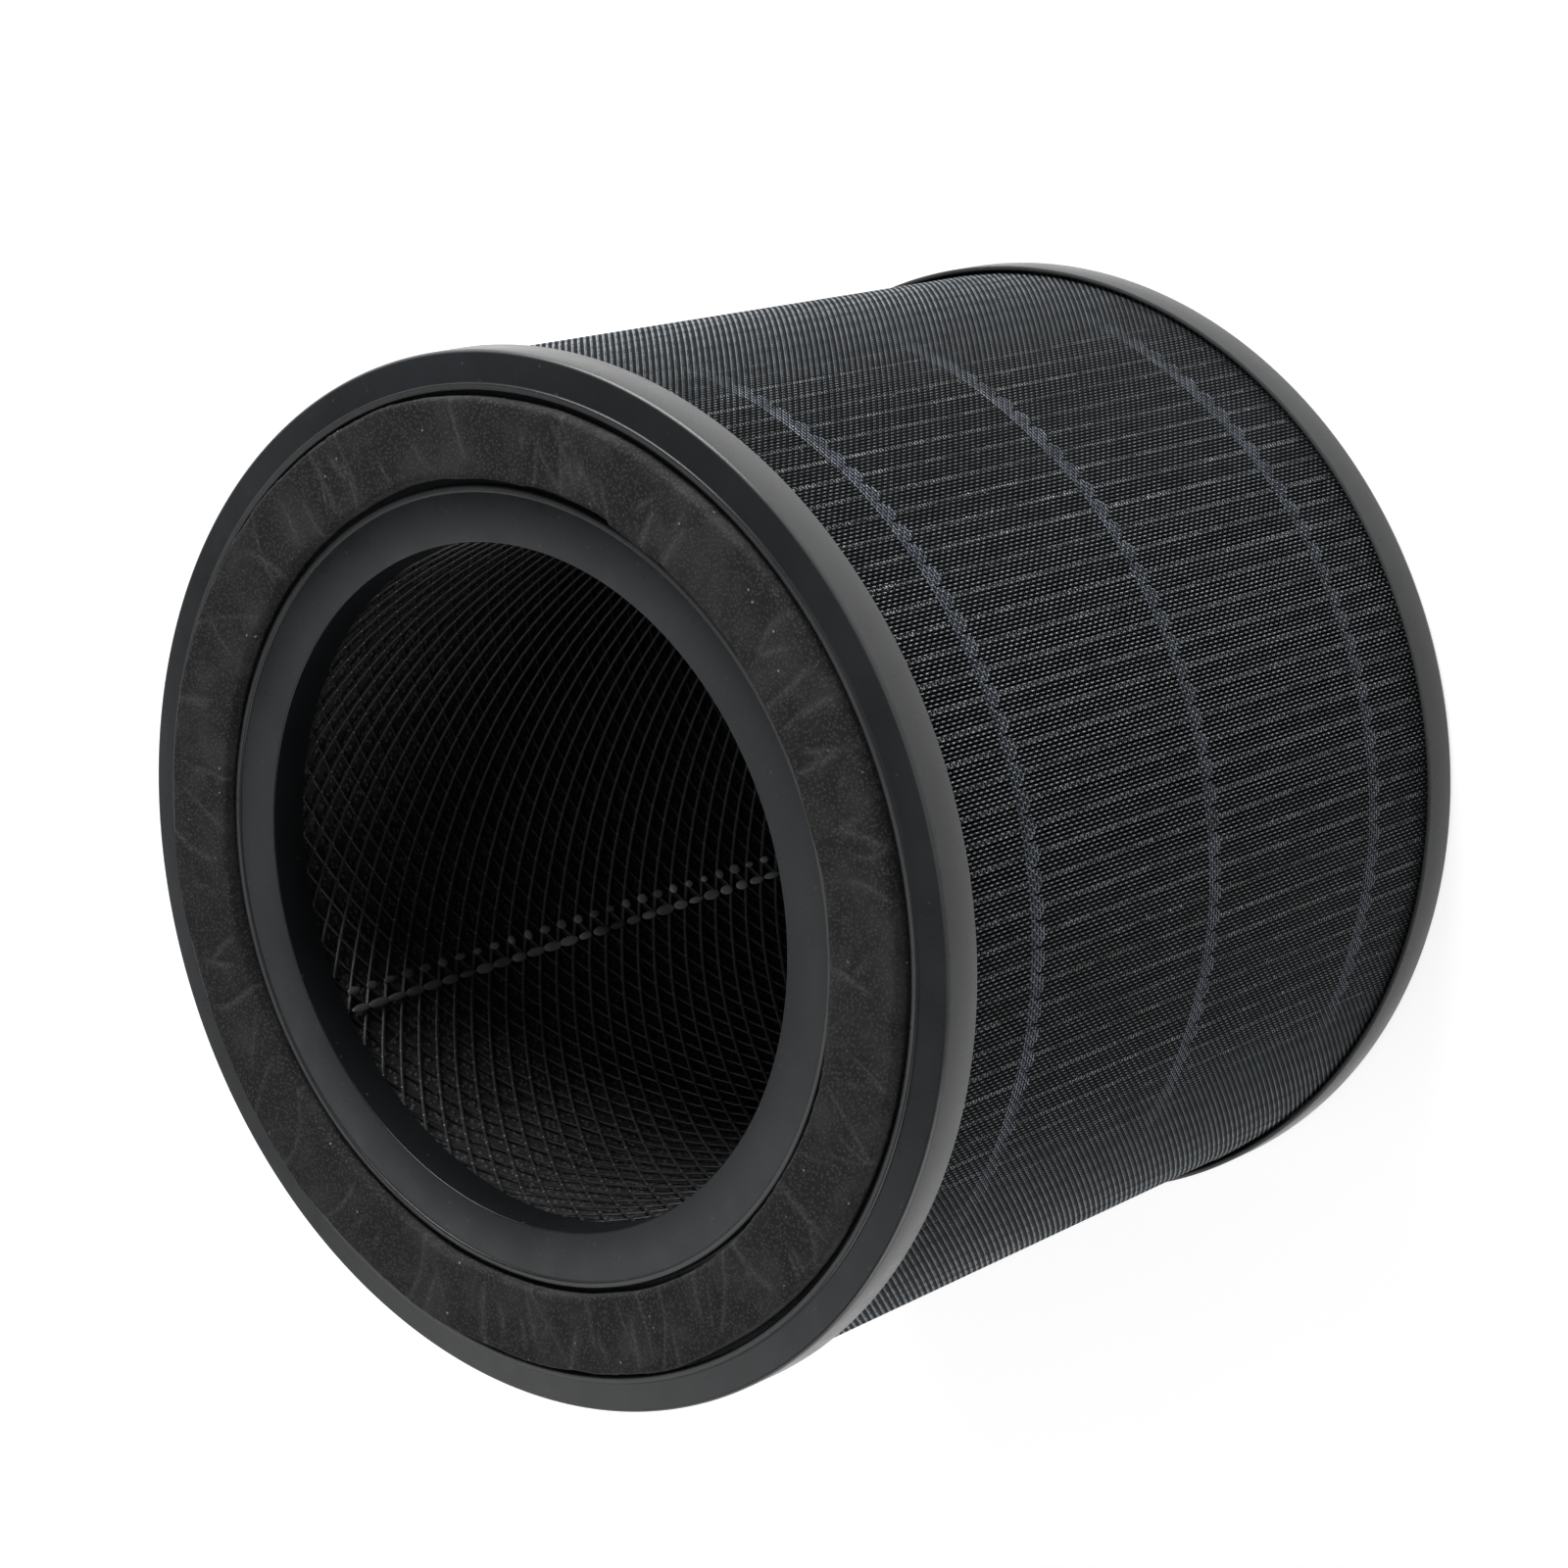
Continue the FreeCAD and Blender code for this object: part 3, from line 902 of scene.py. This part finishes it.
def makeCapPlastic(name, edges, boreRadius=None):
    # edges are the rims that get a painted highlight band
    finish = capFinish
    material, tree, place, shader = startMaterial(name)
    grain = useGroup(tree, mouldedGrainGroup, {"Vector": place, "Grain Scale": 2600.0, "Cloud Scale": 26.0})
    where = useGroup(tree, roundPlaceGroup, {"Vector": place})
    tone = scaleRange(tree, grain["Cloud"], 0.35, 0.7)
    body = blend(tree, tone, grey(finish["dark"], -0.10), grey(finish["light"], -0.10))
    highlightBand = None
    # painted highlight: a pale band along each rim and rib edge, broken up by the flow noise
    for radius, half in edges:
        gap = calculate(tree, "ABSOLUTE", calculate(tree, "SUBTRACT", where["Radius"], radius))
        band = scaleRange(tree, gap, half, half * 0.3)
        highlightBand = band if highlightBand is None else calculate(tree, "MAXIMUM", highlightBand, band)
    wearAndHighlight = calculate(tree, "MULTIPLY", highlightBand, scaleRange(tree, grain["Flow"], 0.3, 0.7, 0.9, 1.0))
    body = blend(tree, calculate(tree, "MULTIPLY", wearAndHighlight, finish["edgeHighlightShare"]), body, grey(finish["edgeHighlight"]))
    if boreRadius:
        # painted shade: the bore's wall is darkened
        wall = scaleRange(tree, where["Radius"], boreRadius + 0.25, boreRadius + 0.05)
        wall = calculate(tree, "MULTIPLY", wall, finish["boreShadeShare"])
        body = blend(tree, wall, body, grey(finish["boreShade"], -0.1))
    specks = useGroup(tree, dustGroup, {"Vector": place, "Scale": 1300.0, "Amount": 0.01})
    body = blend(tree, calculate(tree, "MULTIPLY", specks["Mask"], 0.3), body, grey(finish["speck"]))
    tree.links.new(body, shader.inputs["Base Color"])
    shader.inputs["Specular IOR Level"].default_value = finish["specular"]
    rough = scaleRange(tree, grain["Flow"], 0.3, 0.7, *finish["roughness"], style="LINEAR")
    tree.links.new(rough, shader.inputs["Roughness"])
    wearRelief(tree, shader, grain["Grain"], finish["relief"])
    return material


paint(frontCap, makeCapPlastic("frontCapPlastic", capFinish["frontHighlightEdges"], frontCapShape["bore"]))
paint(rearCap, makeCapPlastic("rearCapPlastic", capFinish["rearHighlightEdges"]))


foamFinish = {
    "deep": 0.010,
    "body": 0.036,
    "skin": 0.042,
    "crease": 0.07,
    "speck": 0.3,
    "specular": 0.25,
    "relief": 0.14,
}


def makeFoamMaterial():
    finish = foamFinish
    material, tree, place, shader = startMaterial("gasketFoam")
    pores = addNode(tree, "ShaderNodeTexVoronoi", {"Vector": place, "Scale": 1700.0}).outputs["Distance"]
    fine = noiseOf(tree, place, 1500.0, 4.0, 0.7)
    patches = noiseOf(tree, place, 90.0, 3.0, 0.6)
    cell = calculate(tree, "MULTIPLY", scaleRange(tree, pores, 0.1, 0.6, 1.0, 0.35), fine)
    body = blend(
        tree, scaleRange(tree, cell, 0.16, 0.5), grey(finish["deep"], 0.02), grey(finish["body"], 0.02))
    wearAndHighlight = scaleRange(tree, patches, 0.42, 0.72, 0.0, 0.5)
    body = blend(tree, wearAndHighlight, body, grey(finish["skin"], 0.01))
    crease = addNode(tree, "ShaderNodeAttribute", attribute_name="crease").outputs["Fac"]
    broken = calculate(tree, "MULTIPLY", crease, scaleRange(tree, fine, 0.35, 0.65, 0.1, 0.75))
    body = blend(tree, broken, body, grey(finish["crease"], 0.01))
    specks = useGroup(tree, dustGroup, {"Vector": place, "Scale": 1500.0, "Amount": 0.004})
    body = blend(tree, calculate(tree, "MULTIPLY", specks["Mask"], 0.7), body, grey(finish["speck"]))
    tree.links.new(body, shader.inputs["Base Color"])
    tree.links.new(scaleRange(tree, fine, 0.3, 0.7, 0.85, 1.0), shader.inputs["Roughness"])
    shader.inputs["Specular IOR Level"].default_value = finish["specular"]
    uneven = calculate(tree, "MULTIPLY_ADD", patches, 1.5, cell)
    wearRelief(tree, shader, uneven, finish["relief"])
    return material


paint(gasketFoam, makeFoamMaterial())


netFinish = {
    "thread": 0.38,
    "hoop": 0.04,
    # painted shade where a thread lies under its neighbour
    "underShade": 0.002,
    "roughness": (0.28, 0.45),
    "specular": 0.14,
    "twist": 1400.0,                # turns of a thread, for each metre
    "relief": 0.02,
    # the fold line gets painted shade
    "foldFrom": (-151.2, 137.4),    # a pressed fold line: degrees round the axis, height in mm
    "foldTo": (-140.1, 123.8),
    "foldHalf": 0.35,
}


def makeNetMaterial():
    # plain weave: each thread lies over and under its neighbours in turn, with a painted highlight on the
    # crests it lies over and painted shade where it lies under
    finish = netFinish
    material, tree, place, shader = startMaterial("netFabric")
    where = useGroup(tree, roundPlaceGroup, {"Vector": place})
    family = addNode(tree, "ShaderNodeAttribute", attribute_name="lengthwise").outputs["Fac"]
    around = calculate(tree, "MULTIPLY", where["Angle"], float(netShape["threads"]))
    start = layers["low"] + netShape["firstHoop"] - netShape["hoopPitch"] / 2
    above = calculate(tree, "SUBTRACT", where["Height"], start)
    along = calculate(tree, "DIVIDE", above, netShape["hoopPitch"])
    around = calculate(tree, "ADD", around, 0.5)
    column, row = calculate(tree, "FLOOR", around), calculate(tree, "FLOOR", along)
    parity = calculate(tree, "FLOORED_MODULO", calculate(tree, "ADD", column, row), 2.0)
    over = calculate(tree, "ABSOLUTE", calculate(tree, "SUBTRACT", parity, family))
    # painted highlight: a thread shows palest at the crest of each crossing
    crests = []
    for way in (around, along):
        part = calculate(tree, "SUBTRACT", calculate(tree, "FRACT", way), 0.5)
        crests.append(scaleRange(tree, calculate(tree, "ABSOLUTE", part), 0.5, 0.3))
    fromHoop = calculate(tree, "SUBTRACT", 1.0, family)
    crest = calculate(tree, "MULTIPLY", crests[1], family)
    crest = calculate(tree, "MULTIPLY_ADD", crests[0], fromHoop, crest)
    wave = calculate(tree, "MULTIPLY", over, crest)
    gloss = noiseOf(tree, place, 350.0, 3.0, 0.6)
    crestHighlight = calculate(tree, "MULTIPLY", wave, scaleRange(tree, gloss, 0.3, 0.7, 0.6, 1.0))
    pale = blend(tree, family, grey(finish["hoop"], -0.05), grey(finish["thread"], -0.1))
    body = blend(tree, crestHighlight, grey(finish["underShade"], -0.03), pale)
    reach = math.radians(1.0) * netShape["frontRadius"]
    # the fold line runs from start to end on the unrolled sleeve
    ends = (finish["foldFrom"], finish["foldTo"])
    start, end = [Vector((degrees * reach, height)) for degrees, height in ends]
    way = (end - start).normalized()
    arc = calculate(tree, "MULTIPLY_ADD", where["Angle"], 360.0 * reach, -start.x)
    rise = calculate(tree, "SUBTRACT", where["Height"], start.y)
    across = calculate(tree, "ABSOLUTE", calculate(
        tree, "MULTIPLY_ADD", arc, way.y, calculate(tree, "MULTIPLY", rise, -way.x)))
    onward = calculate(tree, "MULTIPLY_ADD", arc, way.x, calculate(tree, "MULTIPLY", rise, way.y))
    length = (end - start).length
    # painted shade: the net is darkened along the pressed fold line
    fold = calculate(tree, "MULTIPLY", scaleRange(tree, across, finish["foldHalf"], 0.05),
                     calculate(tree, "MULTIPLY", scaleRange(tree, onward, -2.0, 1.0),
                               scaleRange(tree, onward, length + 1.0, length - 3.0)))
    body = blend(tree, calculate(tree, "MULTIPLY", fold, 0.6), body, grey(finish["hoop"], -0.05))
    shader.inputs["Specular IOR Level"].default_value = finish["specular"]
    tree.links.new(body, shader.inputs["Base Color"])
    tree.links.new(scaleRange(tree, gloss, 0.3, 0.7, *finish["roughness"]), shader.inputs["Roughness"])
    twist = addNode(tree, "ShaderNodeTexWave", {"Vector": place, "Scale": finish["twist"], "Distortion": 0.4})
    wearRelief(tree, shader, twist.outputs["Fac"], finish["relief"])
    return material


paint(outerNet, makeNetMaterial())


meshFinish = {
    # the colour of the painted shade at the mouth's end
    "deep": 0.012,
    "dark": 0.03,
    "light": 0.05,
    # painted highlight on the knots and the inner halves of the stout strands
    "inner": 0.08,
    "lap": 0.55,
    "roughness": (0.3, 0.48),
    "relief": 0.02,
}


def makeMeshPlastic():
    finish = meshFinish
    material, tree, place, shader = startMaterial("meshPlastic")
    grain = useGroup(tree, mouldedGrainGroup, {"Vector": place, "Grain Scale": 1800.0, "Cloud Scale": 60.0})
    where = useGroup(tree, roundPlaceGroup, {"Vector": place})
    # painted highlight: the knots and the inner halves of the stout strands are paler
    inner = scaleRange(tree, where["Radius"], 60.35, 60.1)
    lap = scaleRange(tree, where["Radius"], 59.72, 59.62)
    cloud = scaleRange(tree, grain["Cloud"], 0.3, 0.7)
    body = blend(tree, cloud, grey(finish["dark"], -0.03), grey(finish["light"], -0.03))
    body = blend(tree, inner, body, grey(finish["inner"], -0.02))
    body = blend(tree, calculate(tree, "MULTIPLY", lap, cloud), body, grey(finish["lap"], -0.02))
    # painted shade: the mesh is darkened towards the mouth's end
    unshadedShare = scaleRange(tree, where["Height"], 132.0, 45.0, 0.12, 1.0)
    body = blend(tree, unshadedShare, grey(finish["deep"], -0.02), body)
    tree.links.new(body, shader.inputs["Base Color"])
    rough = scaleRange(tree, grain["Flow"], 0.3, 0.7, *finish["roughness"])
    tree.links.new(rough, shader.inputs["Roughness"])
    wearRelief(tree, shader, grain["Grain"], finish["relief"])
    return material


paint(innerMesh, makeMeshPlastic())


glueFinish = {
    "thin": (0.085, 0.1, 0.135, 1.0),
    "thick": (0.32, 0.37, 0.47, 1.0),
    # painted highlight along the far rim of each scallop
    "rim": (0.82, 0.9, 1.0, 1.0),
    "pale": (0.5, 0.52, 0.55, 1.0),
    "roughness": (0.22, 0.42),
    "relief": 0.08,
}


def makeGlueMaterial():
    finish = glueFinish
    material, tree, place, shader = startMaterial("hotMeltGlue")
    cloud = noiseOf(tree, place, 420.0, 3.0, 0.6)
    body = blend(tree, scaleRange(tree, cloud, 0.3, 0.7), finish["thin"], finish["thick"])
    # painted highlight along the far rim of each scallop
    rim = addNode(tree, "ShaderNodeAttribute", attribute_name="rim").outputs["Fac"]
    rim = calculate(tree, "MULTIPLY", rim, scaleRange(tree, cloud, 0.3, 0.6))
    body = blend(tree, rim, body, finish["rim"])
    specks = useGroup(tree, dustGroup, {"Vector": place, "Scale": 1100.0, "Amount": 0.06})
    body = blend(tree, calculate(tree, "MULTIPLY", specks["Mask"], 0.6), body, finish["pale"])
    tree.links.new(body, shader.inputs["Base Color"])
    tree.links.new(scaleRange(tree, cloud, 0.3, 0.7, *finish["roughness"]), shader.inputs["Roughness"])
    wearRelief(tree, shader, cloud, finish["relief"])
    return material


glueMaterial = makeGlueMaterial()
for line in glueLines:
    paint(line, glueMaterial)


glueTops = [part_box("glue_bead_%d" % number)[1].z / mm for number in (1, 2)]
glueHeights = (max(glueTops), abs(glueTops[0] - glueTops[1]))
paperFinish = {
    "fold": 0.006,
    "wall": 0.012,
    "shade": 0.002,
    # painted highlight along the tips of the folds
    "tip": 0.7,
    "tipHighlightFrom": (86.44, 86.53),      # radii between which the paper turns pale
    "fibre": 1.0,
    "lintFrom": (86.2, 86.4),
    "roughness": 0.85,
    "specular": 0.2,
    "relief": 0.06,
}


def makePaperMaterial():
    # fibre paper, with a painted highlight along the tips of the folds, broken up by the fibre
    finish = paperFinish
    material, tree, place, shader = startMaterial("filterPaper")
    where = useGroup(tree, roundPlaceGroup, {"Vector": place})
    stretched = addNode(tree, "ShaderNodeMapping", {"Vector": place, "Scale": (1.0, 1.0, 0.22)}).outputs[0]
    fibre = noiseOf(tree, stretched, 1300.0, 4.0, 0.7)
    patch = noiseOf(tree, place, 160.0, 3.0, 0.6)
    tip = scaleRange(tree, where["Radius"], *finish["tipHighlightFrom"])
    body = blend(tree, scaleRange(tree, fibre, 0.35, 0.65), grey(finish["fold"]), grey(finish["wall"]))
    # painted shadow: the valleys are darkened just behind each glue line
    front, pitch = glueHeights
    behind = calculate(tree, "DIVIDE", calculate(tree, "SUBTRACT", front, where["Height"]), pitch)
    shade = scaleRange(tree, calculate(tree, "FRACT", behind), 0.04, 0.35, 0.25, 1.0)
    body = blend(tree, shade, grey(finish["shade"]), body)
    strands = scaleRange(tree, fibre, 0.4, 0.6, 0.12, 1.0)
    strands = calculate(tree, "MULTIPLY", strands, scaleRange(tree, patch, 0.3, 0.6, 0.4, 1.0))
    # painted highlight along the tips, broken up by the fibre
    edge = calculate(tree, "MULTIPLY", tip, strands)
    body = blend(tree, edge, body, grey(finish["tip"]))
    specks = useGroup(tree, dustGroup, {"Vector": place, "Scale": 800.0, "Amount": 0.35})
    lint = calculate(tree, "MULTIPLY", specks["Mask"], scaleRange(tree, where["Radius"], *finish["lintFrom"]))
    lint = calculate(tree, "MULTIPLY", lint, scaleRange(tree, patch, 0.38, 0.52))
    body = blend(tree, lint, body, grey(finish["fibre"], 0.02))
    tree.links.new(body, shader.inputs["Base Color"])
    shader.inputs["Roughness"].default_value = finish["roughness"]
    shader.inputs["Specular IOR Level"].default_value = finish["specular"]
    wearRelief(tree, shader, fibre, finish["relief"])
    return material


carbonFinish = {"dark": 0.016, "light": 0.06, "roughness": (0.55, 0.9), "specular": 0.12, "relief": 0.3}
pottingFinish = {"dark": 0.018, "light": 0.034, "roughness": (0.25, 0.45), "relief": 0.15}


def makeCarbonMaterial():
    finish = carbonFinish
    material, tree, place, shader = startMaterial("carbonFelt")
    grains = addNode(tree, "ShaderNodeTexVoronoi", {"Vector": place, "Scale": 900.0})
    size = scaleRange(tree, grains.outputs["Distance"], 0.0, 0.6, 1.0, 0.0)
    body = blend(tree, size, grey(finish["dark"]), grey(finish["light"], -0.02))
    shader.inputs["Specular IOR Level"].default_value = finish["specular"]
    tree.links.new(body, shader.inputs["Base Color"])
    rough = scaleRange(tree, noiseOf(tree, place, 600.0), 0.3, 0.7, *finish["roughness"])
    tree.links.new(rough, shader.inputs["Roughness"])
    wearRelief(tree, shader, size, finish["relief"])
    return material


def makePottingMaterial():
    finish = pottingFinish
    material, tree, place, shader = startMaterial("pottingAdhesive")
    ripple = noiseOf(tree, place, 140.0, 3.0, 0.5)
    body = blend(tree, scaleRange(tree, ripple, 0.3, 0.7), grey(finish["dark"]), grey(finish["light"]))
    tree.links.new(body, shader.inputs["Base Color"])
    tree.links.new(scaleRange(tree, ripple, 0.3, 0.7, *finish["roughness"]), shader.inputs["Roughness"])
    wearRelief(tree, shader, ripple, finish["relief"])
    return material


pottingMaterial = makePottingMaterial()
paint(pleatedPaper, makePaperMaterial())
paint(frame["nodes"]["carbon_sheet"], makeCarbonMaterial())
paint(frame["nodes"]["front_potting"], pottingMaterial)
paint(frame["nodes"]["rear_potting"], pottingMaterial)
print("scene: finishes made")


# Stage: pale floor that shows white, and soft lamps round the filter

stageShape = {
    "size": 8.0,
    "floor": 0.5,               # the floor's grey under the lamps
    "lift": 0.73,               # what is added where it is looked at, so that it shows white
    "fadeFrom": 0.6,            # metres from the filter
    "fadeTo": 1.5,
    "ambient": 0.06,
    "overhead": 0.06,           # how bright a reflection sees the ceiling
}
lamps = [
    # towards is the way from the filter to the lamp
    {"name": "topLamp", "towards": (0.95, -0.16, 0.24), "away": 1.5, "size": 1.1, "power": 47.0},
    {"name": "lowLamp", "towards": (-0.93, -0.18, 0.25), "away": 1.5, "size": 1.2, "power": 15.0},
    {"name": "sweepLamp", "towards": (-0.33, 0.69, 0.65), "away": 1.6, "size": 1.16, "power": 6.4},
    {"name": "frontLamp", "towards": (0.0, -0.35, 0.94), "away": 1.7, "size": 1.2, "power": 4.5},
]
centre = Vector(cameraPlace["target"])
for lamp in lamps:
    way = Vector(lamp["towards"]).normalized()
    bpy.ops.object.light_add(type="AREA", location=centre + way * lamp["away"])
    light = bpy.context.object
    light.name = lamp["name"]
    light.rotation_mode = "QUATERNION"
    light.rotation_quaternion = (-way).to_track_quat("-Z", "Y")
    light.data.shape = "DISK"
    light.data.size = lamp["size"]
    light.data.energy = lamp["power"]


def seenDirectly(tree):
    # 1 for what the camera, a reflection or glass sees
    path = addNode(tree, "ShaderNodeLightPath").outputs
    seen = calculate(tree, "MAXIMUM", path["Is Camera Ray"], path["Is Glossy Ray"])
    return calculate(tree, "MAXIMUM", seen, path["Is Transmission Ray"])


startClean()
bpy.ops.mesh.primitive_plane_add(size=stageShape["size"], location=axisPoint)
floor = bpy.context.object
floor.name = "floor"
floorMaterial, floorTree, floorPlace, floorShader = startMaterial("paleFloor")
speckle = noiseOf(floorTree, floorPlace, 3.0, 2.0)
level = stageShape["floor"]
floorTone = blend(floorTree, speckle, grey(level), grey(level * 0.985))
floorTree.links.new(floorTone, floorShader.inputs["Base Color"])
floorShader.inputs["Roughness"].default_value = 0.9
floorShader.inputs["Specular IOR Level"].default_value = 0.0
floorShader.inputs["Emission Color"].default_value = grey(1.0)
# far from the lamps the floor fades to the white of the horizon
measured = addNode(floorTree, "ShaderNodeVectorMath", {"Vector": floorPlace}, operation="LENGTH")
lift = scaleRange(
    floorTree, measured.outputs["Value"], stageShape["fadeFrom"], stageShape["fadeTo"], stageShape["lift"], 1.0)
lift = calculate(floorTree, "MULTIPLY", seenDirectly(floorTree), lift)
floorTree.links.new(lift, floorShader.inputs["Emission Strength"])
paint(floor, floorMaterial)

world = bpy.data.worlds.new("studio")
bpy.context.scene.world = world
world.use_nodes = True
world.node_tree.nodes.clear()
# white round the horizon, darker overhead, as a studio is
worldTree = world.node_tree
skyWay = addNode(worldTree, "ShaderNodeTexCoord").outputs["Generated"]
skyHeight = addNode(worldTree, "ShaderNodeSeparateXYZ", {0: skyWay}).outputs["Z"]
ceiling = scaleRange(worldTree, skyHeight, 0.05, 0.42, 1.0, stageShape["overhead"])
looking = addNode(worldTree, "ShaderNodeLightPath").outputs["Is Camera Ray"]
shown = calculate(worldTree, "MAXIMUM", ceiling, looking)
unseen = calculate(worldTree, "SUBTRACT", 1.0, seenDirectly(worldTree))
ambient = calculate(worldTree, "MULTIPLY", unseen, stageShape["ambient"])
strength = calculate(worldTree, "MULTIPLY_ADD", seenDirectly(worldTree), shown, ambient)
sky = addNode(worldTree, "ShaderNodeBackground", {"Color": grey(1.0), "Strength": strength})
addNode(worldTree, "ShaderNodeOutputWorld", {"Surface": sky.outputs[0]})
bpy.context.scene.view_settings.view_transform = "Standard"
